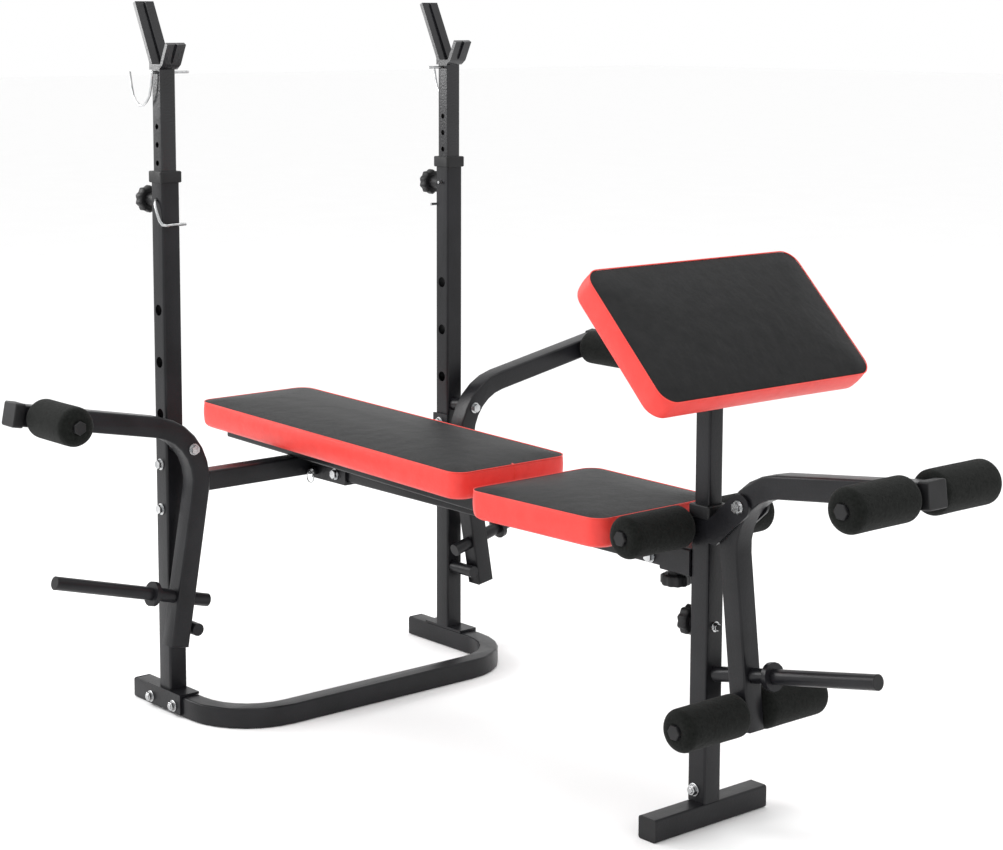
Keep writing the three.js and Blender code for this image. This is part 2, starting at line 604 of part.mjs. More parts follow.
// Built at the post's foot. The ears that carry the leg developer are the sides of a bent bracket.
function frontPostBody() {
  const hinge = { x: LEG_HINGE.x - FRONT_POST_X, z: LEG_HINGE.z };
  const [earLow, earHigh, earInner, earOuter] = [472, 507, HALF + 0.8, HALF + 5.8];
  const ear = new THREE.Shape();
  ear.moveTo(HALF + GAP, earLow);
  ear.lineTo(HALF + 21, earLow);
  ear.absarc(hinge.x, hinge.z, 21, THREE.MathUtils.degToRad(-35), THREE.MathUtils.degToRad(115));
  ear.lineTo(HALF + GAP, earHigh);
  const earPlate = (side) => plate(ear, earOuter - earInner, "xz", 0, 4)
    .translate([0, (side * (earInner + earOuter)) / 2, 0]);
  const sleeveRear = SLEEVE.rear - FRONT_POST_X;
  const sleeveWall = (SLEEVE.size - SLEEVE.bore) / 2;
  const sleeve = squareTube("x", sleeveRear, -HALF + 0.5, SLEEVE.size, sleeveWall)
    .translate([0, 0, BEAM_Z]);
  const barX = SEAT_ROLLER.x - FRONT_POST_X;
  return cut(
    joined(
      squareTube("z", TUBE + GAP, FRONT_POST_TOP, TUBE, TUBE_WALL),
      sleeve,
      box([HALF - 1, -earOuter, earLow], [HALF + 5, earOuter, earHigh]),
      earPlate(1),
      earPlate(-1),
      rollerBar(barX, SEAT_ROLLER.z, 160),
    ),
    rod([hinge.x, -30, hinge.z], [hinge.x, 30, hinge.z], BOLT_HOLE),
    rod([-HALF - 1, 0, CURL_KNOB_Z], [HALF + 1, 0, CURL_KNOB_Z], BOLT_HOLE),
    rod([SLEEVE.knobX - FRONT_POST_X, 0, 400], [SLEEVE.knobX - FRONT_POST_X, 0, BEAM_Z], BOLT_HOLE),
  );
}

function buildFrontPost() {
  const place = new THREE.Group();
  place.position.x = FRONT_POST_X;
  bench.add(place);
  piece(place, "front_post", paint(), frontPostBody());
  piece(place, "front_post_collar", plastic(), collar(FRONT_POST_TOP - 508.5), [0, 0, 508.5]);

  const halfFoot = 129.6;
  const spigot = HALF - TUBE_WALL - 0.5;
  piece(place, "front_foot", paint(), joined(
    squareTube("y", -halfFoot + 2, halfFoot - 2, TUBE, TUBE_WALL).translate([0, 0, HALF]),
    cut(
      box([-spigot, -spigot, TUBE - 1], [spigot, spigot, 110]),
      box([-spigot + 2, -spigot + 2, TUBE + 1], [spigot - 2, spigot - 2, 111]),
    ),
  ));
  for (const [name, side] of SIDES) {
    const end = [0, side * (halfFoot - 2), HALF];
    const plug = piece(place, `front_foot_plug_${name}`, plastic(), tubePlug(), end);
    plug.rotation.z = -side * (Math.PI / 2);
  }

  const curlKnob = piece(place, "curl_knob", plastic(), knob(TUBE + 9), [-HALF, 0, CURL_KNOB_Z]);
  curlKnob.rotation.y = Math.PI / 2;
  const sleeveBottom = BEAM_Z - SLEEVE.size / 2;
  const screwLength = (SLEEVE.size - TUBE) / 2 - GAP;
  piece(bench, "beam_knob", plastic(), knob(screwLength), [SLEEVE.knobX, 0, sleeveBottom]);
}

// ---- Preacher curl pad --------------------------------------------------------------------------

function buildCurl() {
  const tilted = new THREE.Group();
  tilted.position.set(CURL_PAD.x, 0, CURL_PAD.z);
  tilted.rotation.y = CURL_TILT;
  bench.add(tilted);
  const { length, width, height } = CURL_PAD;
  const inset = (by) => roundedRectangle(length - 2 * by, width - 2 * by, PAD_CORNER - by);
  piece(tilted, "curl_pad", vinyl(), cushion(inset(0), inset(14), height));
  piece(tilted, "curl_board", board(), plate(inset(15), BOARD).translate([0, 0, BOARD / 2]));

  // The post's top is cut to the pad's slope and closed by a steel plate under the board.
  const degrees = THREE.MathUtils.radToDeg(CURL_TILT);
  const padPlace = [CURL_PAD.x - FRONT_POST_X, 0, CURL_PAD.z];
  const toPad = (body) => body.rotate([0, degrees, 0]).translate(padPlace);
  const steelPlate = toPad(box([-75, -60, -4.3], [75, 60, -GAP]));
  const above = toPad(box([-200, -100, -2], [200, 100, 200]));
  const slotBottom = CURL_KNOB_Z - CURL_TRAVEL - BOLT_HOLE;
  const post = cut(
    squareTube("z", 215, 850, POST, POST_WALL),
    above,
    box([-HALF, -BOLT_HOLE, slotBottom], [HALF, BOLT_HOLE, CURL_KNOB_Z + BOLT_HOLE]),
  );
  piece(bench, "curl_post", paint(), joined(post, steelPlate), [FRONT_POST_X, 0, 0]);
}

// ---- Leg developer ------------------------------------------------------------------------------

function buildLegDeveloper() {
  const across = ({ x, z }, radius) => rod([x, -HALF - 1, z], [x, HALF + 1, z], radius);
  piece(bench, "leg_arm", paint(), cut(
    joined(bentTube(LEG_ARM, BEND_RADIUS, "xz", false), peg([1077.5, 0, 254], [1404, 0, 317.4], 118)),
    across(LEG_HINGE, BOLT_HOLE),
    across(LOWER_ROLLER, BAR_RADIUS + RUN),
    across(END_ROLLER, BAR_RADIUS + RUN),
  ));
  const [, corner, end] = LEG_ARM;
  const cap = piece(bench, "leg_arm_cap", plastic(), armCap(), [end[0], 0, end[1]]);
  cap.rotation.y = -Math.atan2(end[1] - corner[1], end[0] - corner[0]);
  const earFace = HALF + 5.8;
  piece(bench, "leg_pivot_bolt", chrome(), bolt(
    [LEG_HINGE.x, -earFace, LEG_HINGE.z], [LEG_HINGE.x, earFace, LEG_HINGE.z]));
  piece(bench, "lower_roller_bar", paint(), rollerBar(LOWER_ROLLER.x, LOWER_ROLLER.z, 160));
  piece(bench, "end_roller_bar", paint(), rollerBar(END_ROLLER.x, END_ROLLER.z, 162));
}

// ---- Foam rollers that lie across the bench -----------------------------------------------------

function buildCrossRollers() {
  const sets = [
    ["seat_roller", SEAT_ROLLER, 23.6, 163],
    ["lower_roller", LOWER_ROLLER, 20, 163],
    ["end_roller", END_ROLLER, 22.5, 165],
  ];
  for (const [kind, { x, z }, inner, outer] of sets) {
    for (const [name, side] of SIDES) {
      const place = [x, side * inner, z];
      const sleeve = piece(bench, `${kind}_${name}`, foam(), roller(outer - inner), place);
      sleeve.rotation.x = -side * (Math.PI / 2);
    }
  }
}

// ---- Butterfly arms -----------------------------------------------------------------------------

// Built in the arm's own plane, x = 0 at its middle, with outward the sign of Y away from the bench.
function flyArmBody(outward) {
  const line = FLY_ARM.map(([y, z]) => [y * outward, z]);
  const { y, z } = FLY_ROLLER;
  const pivotAt = (x) => [x, FLY_PIVOT.y * outward, FLY_PIVOT.z];
  return cut(
    joined(
      bentTube(line, BEND_RADIUS, "yz", false),
      peg([0, 302 * outward, 217], [0, 622 * outward, 302.3], 118),
      rod([-HALF - 3, y * outward, z], [146, y * outward, z], BAR_RADIUS),
      rod([140, y * outward, z], [155, y * outward, z], BAR_RADIUS - 1, 6),
    ),
    rod(pivotAt(-HALF - 1), pivotAt(HALF + 1), BOLT_HOLE),
  );
}

function buildButterfly() {
  const [, corner, end] = FLY_ARM;
  const slope = Math.atan2(end[1] - corner[1], end[0] - corner[0]);
  for (const [name, outward] of SIDES) {
    const place = new THREE.Group();
    place.position.x = FLY_X;
    bench.add(place);
    piece(place, `butterfly_arm_${name}`, paint(), flyArmBody(outward));
    const armEnd = [0, outward * end[0], end[1]];
    const cap = piece(place, `butterfly_cap_${name}`, plastic(), armCap(), armEnd);
    cap.rotation.set(0, -slope, outward * (Math.PI / 2), "ZYX");
    const sleeve = piece(place, `butterfly_roller_${name}`, foam(), roller(130),
      [HALF + 2, outward * FLY_ROLLER.y, FLY_ROLLER.z]);
    sleeve.rotation.y = Math.PI / 2;
    const at = (x) => [x, outward * FLY_PIVOT.y, FLY_PIVOT.z];
    piece(place, `butterfly_pivot_bolt_${name}`, chrome(), bolt(at(HALF), at(-FLY_X - HALF)));
  }
}

buildRearBase();
buildUprights();
buildCrossBeam();
buildMainBeam();
buildPullPin();
buildBackrest();
buildSeat();
buildFrontPost();
buildCurl();
buildLegDeveloper();
buildCrossRollers();
buildButterfly();

export default bench;
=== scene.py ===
import json
import math

import bmesh
import bpy
from mathutils import Matrix, Vector, noise


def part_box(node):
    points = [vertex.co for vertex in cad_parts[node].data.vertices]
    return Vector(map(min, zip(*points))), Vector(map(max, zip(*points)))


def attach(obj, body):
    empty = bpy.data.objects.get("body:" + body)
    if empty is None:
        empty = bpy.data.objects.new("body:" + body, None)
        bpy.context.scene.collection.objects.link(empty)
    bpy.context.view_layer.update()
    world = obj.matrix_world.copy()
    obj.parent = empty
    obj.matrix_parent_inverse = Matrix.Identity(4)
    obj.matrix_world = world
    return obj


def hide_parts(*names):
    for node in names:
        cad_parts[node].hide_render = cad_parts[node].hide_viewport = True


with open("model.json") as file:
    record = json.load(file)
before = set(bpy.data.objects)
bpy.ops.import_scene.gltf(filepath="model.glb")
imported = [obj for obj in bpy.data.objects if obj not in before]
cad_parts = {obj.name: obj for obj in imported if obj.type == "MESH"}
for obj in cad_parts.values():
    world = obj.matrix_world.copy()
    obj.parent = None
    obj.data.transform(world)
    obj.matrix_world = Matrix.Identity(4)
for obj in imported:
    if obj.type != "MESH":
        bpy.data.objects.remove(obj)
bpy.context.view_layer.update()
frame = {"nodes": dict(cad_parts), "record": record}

NODES = frame["nodes"]
SLOTS = {row["node"]: row["material_slot"] for row in frame["record"]["subparts"]}

MM = 0.001
SIDES = (("left", 1), ("right", -1))  # each side's name and its sign along y
TUBE = 38 * MM
UPRIGHT_X = -645.35 * MM  # centre line of the rack uprights

# Cushions. The tilts turn them about +y, in radians.
BACK_TILT = 0.0253
CURL_TILT = math.radians(45.4)
SEAT_TAPER = 0.07968  # how much narrower the seat gets towards its front, as a share of its width
SEAM_DROP = 6 * MM  # how far the top seam lies below the top of the CAD pad
CROWN = 5.4 * MM  # how far the top rises over its seam before it is stuffed
ROLL = 40 * MM  # how far in from the seam the top goes on rising
CORNER = 28 * MM
HEM_RADIUS = 11 * MM
HEM_ANGLES = (25, 50, 75)  # degrees round the hem at which the side band has a ring of points
UNDERSIDE_INSET = 8.8 * MM  # how far the underside's rim lies inside the cushion's
BAND_SHARES = (0.12, 0.3, 0.5, 0.7, 0.88)  # its other rings, as shares of the height above the hem
BULGE = 1.2 * MM  # how far the side band swells past the rim
COVER_INSET = 0.5 * MM  # a cover is cut this much small, and the stuffing swells it
SWELL = 4.5 * MM  # the furthest that the stuffing moves the cover
PIPING_RADIUS = 1.0 * MM
GRID_STEP = 12 * MM
CORNER_STEPS = 4
STUFFING_FRAMES = 20
END_SEAM_SINK = 0.2 * MM  # how deep the edges of the end seam lie in the side band
# The end seam's section in mm, each corner as far out and across: two lips with a groove between.
END_SEAM_SECTION = ((0.0, -1.8), (1.1, -0.9), (0.2, 0.0), (1.1, 0.9), (0.0, 1.8))

# Foam rollers
ROLLER_KINDS = ("seat_roller", "lower_roller", "end_roller", "butterfly_roller")
ROLLER_RADIUS = 35 * MM
ROLLER_BORE = 12.6 * MM
ROLLER_SIDES = 48
ROLLER_WAIST = 0.997  # the radius between the shoulders, as a share of the full radius
# The foam's lip round its bar in mm, each corner as far out from the bore and in from the end.
ROLLER_LIP = ((0.0, 3.5), (-1.0, 2.6), (-1.0, 1.0), (0.5, 0.3))
SHOULDER = 15 * MM
SHOULDER_STEPS = 6
WOBBLE = 0.5 * MM  # how far the foam's surface wanders
WOBBLE_SCALE = 28

# Weight pegs, in millimetres from the floor under the uprights: each tip, and the way it points.
LEG_PEG = ((1404, 0, 317.4), (326.5, 0, 63.4))
LEFT_PEG = ((63, 622, 302.3), (0, 320, 85.3))

# Small pieces as stacks of rings, each ring a radius and a height in millimetres.
HEX_PLUG = ((12.6, -2.0), (12.6, 4.2), (11.4, 5.6))
PEG_CAP = ((10.3, -4.0), (10.3, -0.2), (12.5, 0.1), (12.5, 1.4), (11.6, 2.2))
WASHER = ((10.6, 0.0), (11.0, 0.4), (11.0, 1.4), (10.4, 1.9), (7.0, 2.1))
BOLT_HEAD = ((8.7, 1.5), (8.7, 7.4), (7.9, 8.0))
BOLT_CROWN = ((7.4, 7.6), (7.2, 8.3), (5.4, 8.4))
BOLT_END = ((4.8, 8.0), (4.8, 9.6), (4.2, 10.1))

# Foot bolts
REAR_BOLT_X = UPRIGHT_X - 42 * MM
FRONT_BOLT_X = UPRIGHT_X + 36 * MM
FOOT_BOLT_Z = 18 * MM
POST_BOLT_BACK = 4 * MM  # how far the front foot's bolt lies behind the middle of the post
POST_BOLT_Z = 58 * MM
CURL_NUT_Z = 331 * MM

# Camera
CAMERA_PLACE = (2.7872, -2.5208, 1.2991)
CAMERA_YAW = math.radians(50.362)
CAMERA_PITCH = math.radians(7.453)
CAMERA_SENSOR = 36
CAMERA_LENS = 78.911
CAMERA_SHIFT = (0.0587, -0.12)
CAMERA_REACH = 80

# Surroundings and shading
FLOOR_HALF = 40
FLOOR_CELLS = 8
FLOOR_DROP = 0.5 * MM
WORLD_STRENGTH = 1.0
NOISE_RANGE = (0.3, 0.7)


# ---- Materials --------------------------------------------------------------------------------------


class Shader:
    """A node material with a Principled surface, built a node at a time."""

    def __init__(self, name, roughness, metallic=0.0, specular=0.5):
        self.material = bpy.data.materials.new(name)
        self.material.use_nodes = True
        self.nodes = self.material.node_tree.nodes
        self.links = self.material.node_tree.links
        self.surface = self.nodes["Principled BSDF"]
        self.surface.inputs["Roughness"].default_value = roughness
        self.surface.inputs["Metallic"].default_value = metallic
        self.surface.inputs["Specular IOR Level"].default_value = specular
        self.place = self.nodes.new("ShaderNodeTexCoord").outputs["Object"]
        self.relief = None

    def noise(self, scale, detail):
        node = self.nodes.new("ShaderNodeTexNoise")
        node.inputs["Scale"].default_value = scale
        node.inputs["Detail"].default_value = detail
        self.links.new(self.place, node.inputs["Vector"])
        return node.outputs["Fac"]

    def cells(self, scale, feature):
        """A pattern of cells: F1 makes a pit in each, and DISTANCE_TO_EDGE a pebble."""
        node = self.nodes.new("ShaderNodeTexVoronoi")
        node.feature = feature
        node.inputs["Scale"].default_value = scale
        self.links.new(self.place, node.inputs["Vector"])
        return node.outputs["Distance"]

    def colour(self, source, low, high):
        """Colours the surface between low and high, over the range that noise mostly takes."""
        node = self.nodes.new("ShaderNodeValToRGB")
        first, last = node.color_ramp.elements
        first.position, last.position = NOISE_RANGE
        first.color = (*low, 1.0)
        last.color = (*high, 1.0)
        self.links.new(source, node.inputs["Fac"])
        self.links.new(node.outputs["Color"], self.surface.inputs["Base Color"])

    def rough(self, source, low, high):
        node = self.nodes.new("ShaderNodeMapRange")
        node.inputs["To Min"].default_value = low
        node.inputs["To Max"].default_value = high
        self.links.new(source, node.inputs["Value"])
        self.links.new(node.outputs["Result"], self.surface.inputs["Roughness"])

    def sheen(self, weight, roughness):
        self.surface.inputs["Sheen Weight"].default_value = weight
        self.surface.inputs["Sheen Roughness"].default_value = roughness

    def bump(self, source, depth):
        """Adds relief of that depth on top of what is there already."""
        node = self.nodes.new("ShaderNodeBump")
        node.inputs["Strength"].default_value = 1.0
        node.inputs["Distance"].default_value = depth
        self.links.new(source, node.inputs["Height"])
        if self.relief is not None:
            self.links.new(self.relief, node.inputs["Normal"])
        self.relief = node.outputs["Normal"]
        self.links.new(self.relief, self.surface.inputs["Normal"])


def powder_coat(name, specular, gloss):
    """Satin black powder coat: fine orange peel, and faint cloudiness in its gloss."""
    shader = Shader(name, roughness=0.4, specular=specular)
    shader.colour(shader.noise(14, detail=4), (0.0045, 0.0045, 0.0055), (0.010, 0.010, 0.012))
    shader.rough(shader.noise(60, detail=4), *gloss)
    shader.bump(shader.noise(260, detail=3), depth=0.25 * MM)
    shader.bump(shader.noise(1400, detail=2), depth=0.04 * MM)
    return shader.material


def moulded_plastic():
    """Black moulded plastic with a fine spark-eroded grain."""
    shader = Shader("moulded_plastic", roughness=0.5, specular=0.32)
    shader.colour(shader.noise(30, detail=3), (0.0045, 0.0045, 0.005), (0.009, 0.009, 0.010))
    shader.rough(shader.noise(120, detail=3), 0.40, 0.58)
    shader.bump(shader.noise(1100, detail=2), depth=0.08 * MM)
    return shader.material


def plated_steel():
    """Zinc plate: brushed a little, with small cloudy patches."""
    shader = Shader("plated_steel", roughness=0.22, metallic=1.0)
    shader.colour(shader.noise(90, detail=3), (0.34, 0.35, 0.36), (0.58, 0.58, 0.58))
    shader.rough(shader.noise(240, detail=4), 0.14, 0.34)
    shader.bump(shader.noise(700, detail=3), depth=0.05 * MM)
    return shader.material


def closed_foam():
    """Matt black foam sleeve: a fine pitted skin with a little nap."""
    shader = Shader("closed_foam", roughness=0.95, specular=0.10)
    shader.colour(shader.noise(220, detail=5), (0.0035, 0.0042, 0.0035), (0.0095, 0.0105, 0.0095))
    shader.sheen(0.06, roughness=0.5)
    shader.bump(shader.cells(900, "F1"), depth=0.5 * MM)
    shader.bump(shader.noise(160, detail=4), depth=0.6 * MM)
    return shader.material


def leather(name, low, high, sheen, specular=0.3, gloss=(0.36, 0.5)):
    """Imitation leather: pebbled grain over a softly uneven cushion."""
    shader = Shader(name, roughness=0.45, specular=specular)
    shader.colour(shader.noise(45, detail=5), low, high)
    shader.rough(shader.noise(300, detail=3), *gloss)
    shader.sheen(sheen, roughness=0.4)
    shader.bump(shader.noise(28, detail=3), depth=1.6 * MM)
    shader.bump(shader.cells(620, "DISTANCE_TO_EDGE"), depth=0.30 * MM)
    shader.bump(shader.noise(1500, detail=2), depth=0.06 * MM)
    return shader.material


def backing_cloth():
    """Black non-woven cloth stapled over the board."""
    shader = Shader("backing_cloth", roughness=0.9, specular=0.2)
    shader.colour(shader.noise(400, detail=4), (0.012, 0.011, 0.011), (0.028, 0.027, 0.026))
    shader.bump(shader.cells(500, "F1"), depth=0.3 * MM)
    return shader.material


def pale_floor():
    shader = Shader("pale_floor", roughness=0.85, specular=0.2)
    shader.colour(shader.noise(3, detail=2), (0.975, 0.975, 0.975), (0.985, 0.985, 0.985))
    return shader.material


PAINT = powder_coat("powder_coat", specular=0.27, gloss=(0.27, 0.40))
POST_PAINT = powder_coat("rack_post_coat", specular=0.5, gloss=(0.16, 0.24))
PLASTIC = moulded_plastic()
CHROME = plated_steel()
FOAM = closed_foam()
BLACK_VINYL = leather(
    "black_vinyl", (0.0035, 0.0038, 0.0042), (0.0075, 0.0075, 0.008), sheen=0.0, specular=0.16
)
RED_VINYL = leather("red_vinyl", (0.72, 0.036, 0.028), (0.79, 0.046, 0.036), sheen=0.03, specular=0.4)
# Piping and end seam: the red vinyl painted a shade lighter and pinker, a painted highlight along the
# seams.
SEAM_HIGHLIGHT_RED = leather("seam_red_painted_highlight", (0.76, 0.05, 0.04), (0.84, 0.07, 0.05), sheen=0.03, gloss=(0.25, 0.35))
CLOTH = backing_cloth()

FINISHES = {
    "black_paint": PAINT,
    "black_plastic": PLASTIC,
    "chrome": CHROME,
    "black_foam": FOAM,
    "red_vinyl": RED_VINYL,
    "board": CLOTH,
}


# ---- Pieces -----------------------------------------------------------------------------------------


def add_piece(name, mesh, materials, body, matrix):
    """Puts a mesh in the scene as a piece that rides on a CAD body."""
    obj = bpy.data.objects.new(name, mesh)
    bpy.context.scene.collection.objects.link(obj)
    for material in materials:
        mesh.materials.append(material)
    shade_smooth(mesh)
    obj.matrix_world = matrix
    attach(obj, body)
    return obj


def shade_smooth(mesh):
    mesh.polygons.foreach_set("use_smooth", [True] * len(mesh.polygons))


def subdivide(obj, levels):
    modifier = obj.modifiers.new("smooth", "SUBSURF")
    modifier.levels = levels
    modifier.render_levels = levels


def split_edges(obj, degrees):
    """Keeps edges sharper than the angle crisp, and shades the rest smooth."""
    crisp = obj.modifiers.new("crisp_edges", "EDGE_SPLIT")
    crisp.split_angle = math.radians(degrees)
    crisp.use_edge_sharp = False
    flats = obj.modifiers.new("flat_faces", "WEIGHTED_NORMAL")
    flats.weight = 100
    flats.mode = "FACE_AREA"


def towards(direction):
    """The turn that takes +z to the direction."""
    return Vector((0, 0, 1)).rotation_difference(Vector(direction)).to_matrix().to_4x4()


def dress_cad_nodes():
    """Gives every CAD node its finish, and smooth shading across its facets."""
    for node, obj in NODES.items():
        mesh = obj.data
        mesh.materials.clear()
        mesh.materials.append(POST_PAINT if node.startswith("rack_post") else FINISHES[SLOTS[node]])
        shade_smooth(mesh)
        weld = obj.modifiers.new("weld", "WELD")
        weld.merge_threshold = 0.02 * MM
        split_edges(obj, degrees=48)


def turned_box(node, tilt):
    """The box of a CAD node in axes turned about +y by the tilt, and the matrix back from them."""
    turn = Matrix.Rotation(tilt, 4, "Y")
    points = [turn.inverted() @ vertex.co for vertex in NODES[node].data.vertices]
    low = Vector([min(point[i] for point in points) for i in range(3)])
    high = Vector([max(point[i] for point in points) for i in range(3)])
    return low, high, turn


# ---- Meshes made of rings ---------------------------------------------------------------------------


def add_ring(mesh, radius, height, sides):
    """Vertices evenly round the z axis."""
    angles = [2 * math.pi * k / sides for k in range(sides)]
    return [mesh.verts.new((radius * math.cos(a), radius * math.sin(a), height)) for a in angles]


def join_rings(mesh, rings, closed=True):
    """Joins each ring of vertices to the next by faces. A closed ring's last vertex meets its first."""
    faces = []
    count = len(rings[0])
    for lower, upper in zip(rings, rings[1:]):
        for k in range(count if closed else count - 1):
            after = (k + 1) % count
            faces.append(mesh.faces.new((lower[k], lower[after], upper[after], upper[k])))
    return faces


def add_stack(mesh, layers, sides):
    """Adds a closed solid to the mesh from a stack of rings, in millimetres along +z."""
    rings = [add_ring(mesh, radius * MM, height * MM, sides) for radius, height in layers]
    join_rings(mesh, rings)
    mesh.faces.new(rings[0][::-1])
    mesh.faces.new(rings[-1])


def to_mesh(name, mesh):
    """Moves the built mesh into Blender data of that name."""
    data = bpy.data.meshes.new(name)
    mesh.to_mesh(data)
    mesh.free()
    return data


def looped_mesh(name, mesh, rings):
    """Joins rings that come back to the first one, and turns the faces outwards."""
    join_rings(mesh, rings + rings[:1])
    bmesh.ops.recalc_face_normals(mesh, faces=mesh.faces)
    return to_mesh(name, mesh)


# ---- Cushions ---------------------------------------------------------------------------------------


def grid_lines(half):
    """Places of the grid lines across one direction: close together in the corners."""
    inner = half - CORNER
    count = 2 * round(inner / GRID_STEP)
    middle = [-inner + 2 * inner * i / count for i in range(count + 1)]
    rim = [inner + CORNER * (i + 1) / CORNER_STEPS for i in range(CORNER_STEPS)]
    return [-value for value in reversed(rim)] + middle + rim


def round_corner(x, y, half_x, half_y):
    """Moves a grid point of a rectangle onto the same rectangle with rounded corners."""
    inner_x = half_x - CORNER
    inner_y = half_y - CORNER
    a = max(0.0, abs(x) - inner_x) / CORNER
    b = max(0.0, abs(y) - inner_y) / CORNER
    if a > 0 and b > 0:
        x = math.copysign(inner_x + CORNER * a * math.sqrt(1 - b * b / 2), x)
        y = math.copysign(inner_y + CORNER * b * math.sqrt(1 - a * a / 2), y)
    return x, y


def rim_cells(nx, ny):
    """The places on the rim of a grid of nx by ny points, in order."""
    near = [(i, 0) for i in range(nx - 1)]
    front = [(nx - 1, j) for j in range(ny - 1)]
    far = [(i, ny - 1) for i in range(nx - 1, 0, -1)]
    back = [(0, j) for j in range(ny - 1, 0, -1)]
    return near + front + far + back


def side_profile(seam):
    """Heights up the side band, each with how far it lies inside the rim: a round hem, then a bulge."""
    profile = []
    for angle in map(math.radians, HEM_ANGLES):
        profile.append((HEM_RADIUS * (1 - math.cos(angle)), HEM_RADIUS * (1 - math.sin(angle))))
    for share in BAND_SHARES:
        height = HEM_RADIUS + (seam - HEM_RADIUS) * share
        profile.append((height, -BULGE * math.sin(math.pi * share)))
    return profile


def cushion_mesh(name, size, widen):
    """A closed cushion on z = 0: top panel (material 0), side band (1) and underside (2).

    widen(x) scales the width along the length. Returns the mesh and the top seam's vertices in order.
    """
    half_x = size.x / 2 - COVER_INSET
    half_y = size.y / 2 - COVER_INSET
    seam = size.z - SEAM_DROP
    xs = grid_lines(half_x)
    ys = grid_lines(half_y)
    mesh = bmesh.new()

    def panel(height_at):
        rows = []
        for x in xs:
            places = [(y, *round_corner(x, y, half_x, half_y)) for y in ys]
            rows.append([mesh.verts.new((px, py * widen(px), height_at(x, y))) for y, px, py in places])
        return rows

    def crowned(x, y):
        """The top panel rises from its seam in a soft roll, then lies nearly level."""
        along = min(1.0, (half_x - abs(x)) / ROLL)
        across = min(1.0, (half_y - abs(y)) / ROLL)
        return seam + CROWN * math.sin(math.pi / 2 * along) * math.sin(math.pi / 2 * across)

    def drawn_in(point, inset):
        """The point moved towards the middle, by the inset where it lies on the rim."""
        return point.x * (1 - inset / half_x), point.y * (1 - inset / half_y)

    top = panel(crowned)
    bottom = panel(lambda x, y: 0.0)
    for i in range(len(xs) - 1):
        for j in range(len(ys) - 1):
            mesh.faces.new((top[i][j], top[i + 1][j], top[i + 1][j + 1], top[i][j + 1]))
            under = (bottom[i][j], bottom[i][j + 1], bottom[i + 1][j + 1], bottom[i + 1][j])
            mesh.faces.new(under).material_index = 2
    rim = rim_cells(len(xs), len(ys))
    rings = [[bottom[i][j] for i, j in rim]]
    for height, inset in side_profile(seam):
        rings.append([mesh.verts.new((*drawn_in(bottom[i][j].co, inset), height)) for i, j in rim])
    rings.append([top[i][j] for i, j in rim])
    for row in bottom:
        for vertex in row:
            vertex.co.xy = drawn_in(vertex.co, UNDERSIDE_INSET)
    for face in join_rings(mesh, rings):
        face.material_index = 1
    mesh.verts.index_update()
    seam_line = [vertex.index for vertex in rings[-1]]
    return to_mesh(name, mesh), seam_line


def cloth_cover(obj, held):
    """Makes the object an airtight cover under pressure, fixed at its held vertices."""
    cloth = obj.modifiers.new("stuffing", "CLOTH")
    cloth.settings.use_pressure = True
    cloth.settings.uniform_pressure_force = 4.0
    cloth.settings.vertex_group_mass = held.name
    cloth.settings.effector_weights.gravity = 0.0
    cloth.settings.tension_stiffness = 40
    cloth.settings.compression_stiffness = 40
    cloth.settings.bending_stiffness = 2.0
    cloth.collision_settings.use_collision = False
    return cloth


def stuff(mesh, seam_line):
    """Blows the cover up by cloth simulation, with its underside and top seam held."""
    scene = bpy.context.scene
    cover = bpy.data.objects.new("cover", mesh)
    scene.collection.objects.link(cover)
    held = cover.vertex_groups.new(name="held")
    held.add([vertex.index for vertex in mesh.vertices if vertex.co.z < 1 * MM], 1.0, "REPLACE")
    held.add(seam_line, 1.0, "REPLACE")
    before = [vertex.co.copy() for vertex in mesh.vertices]
    cloth = cloth_cover(cover, held)
    for step in range(1, STUFFING_FRAMES + 1):
        scene.frame_set(step)
    evaluated = cover.evaluated_get(bpy.context.evaluated_depsgraph_get())
    after = [vertex.co.copy() for vertex in evaluated.data.vertices]
    cover.modifiers.remove(cloth)
    scene.frame_set(1)
    for vertex, start, end in zip(mesh.vertices, before, after):
        move = end - start
        move.length = min(move.length, SWELL)
        vertex.co = start + move
    cover.vertex_groups.clear()
    bpy.data.objects.remove(cover)


def piping_mesh(name, points, sides=8):
    """A round cord that follows a closed loop of points."""
    mesh = bmesh.new()
    rings = []
    for k, point in enumerate(points):
        along = (points[(k + 1) % len(points)] - points[k - 1]).normalized()
        out = along.cross(Vector((0, 0, 1))).normalized()
        up = out.cross(along)
        ring = []
        for s in range(sides):
            angle = 2 * math.pi * s / sides
            offset = out * (PIPING_RADIUS * math.cos(angle)) + up * (PIPING_RADIUS * math.sin(angle))
            ring.append(mesh.verts.new(point + offset))
        rings.append(ring)
    return looped_mesh(name, mesh, rings)


def build_cushion(name, node, body, tilt=0.0, widen=lambda x: 1.0):
    """A stuffed cushion in place of a CAD pad, with a piped seam round its top."""
    low, high, turn = turned_box(node, tilt)
    middle = (low + high) / 2
    middle.z = low.z
    matrix = turn @ Matrix.Translation(middle)
    mesh, seam_line = cushion_mesh(name, high - low, widen)
    stuff(mesh, seam_line)
    pad = add_piece(name, mesh, (BLACK_VINYL, RED_VINYL, CLOTH), body, matrix)
    subdivide(pad, 2)
    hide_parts(node)
    cord_name = f"{name}_piping"
    cord_mesh = piping_mesh(cord_name, [mesh.vertices[i].co.copy() for i in seam_line])
    # The cord takes the lighter red: a painted highlight along the top seam.
    cord = add_piece(cord_name, cord_mesh, [SEAM_HIGHLIGHT_RED], body, matrix)
    subdivide(cord, 2)
    return pad


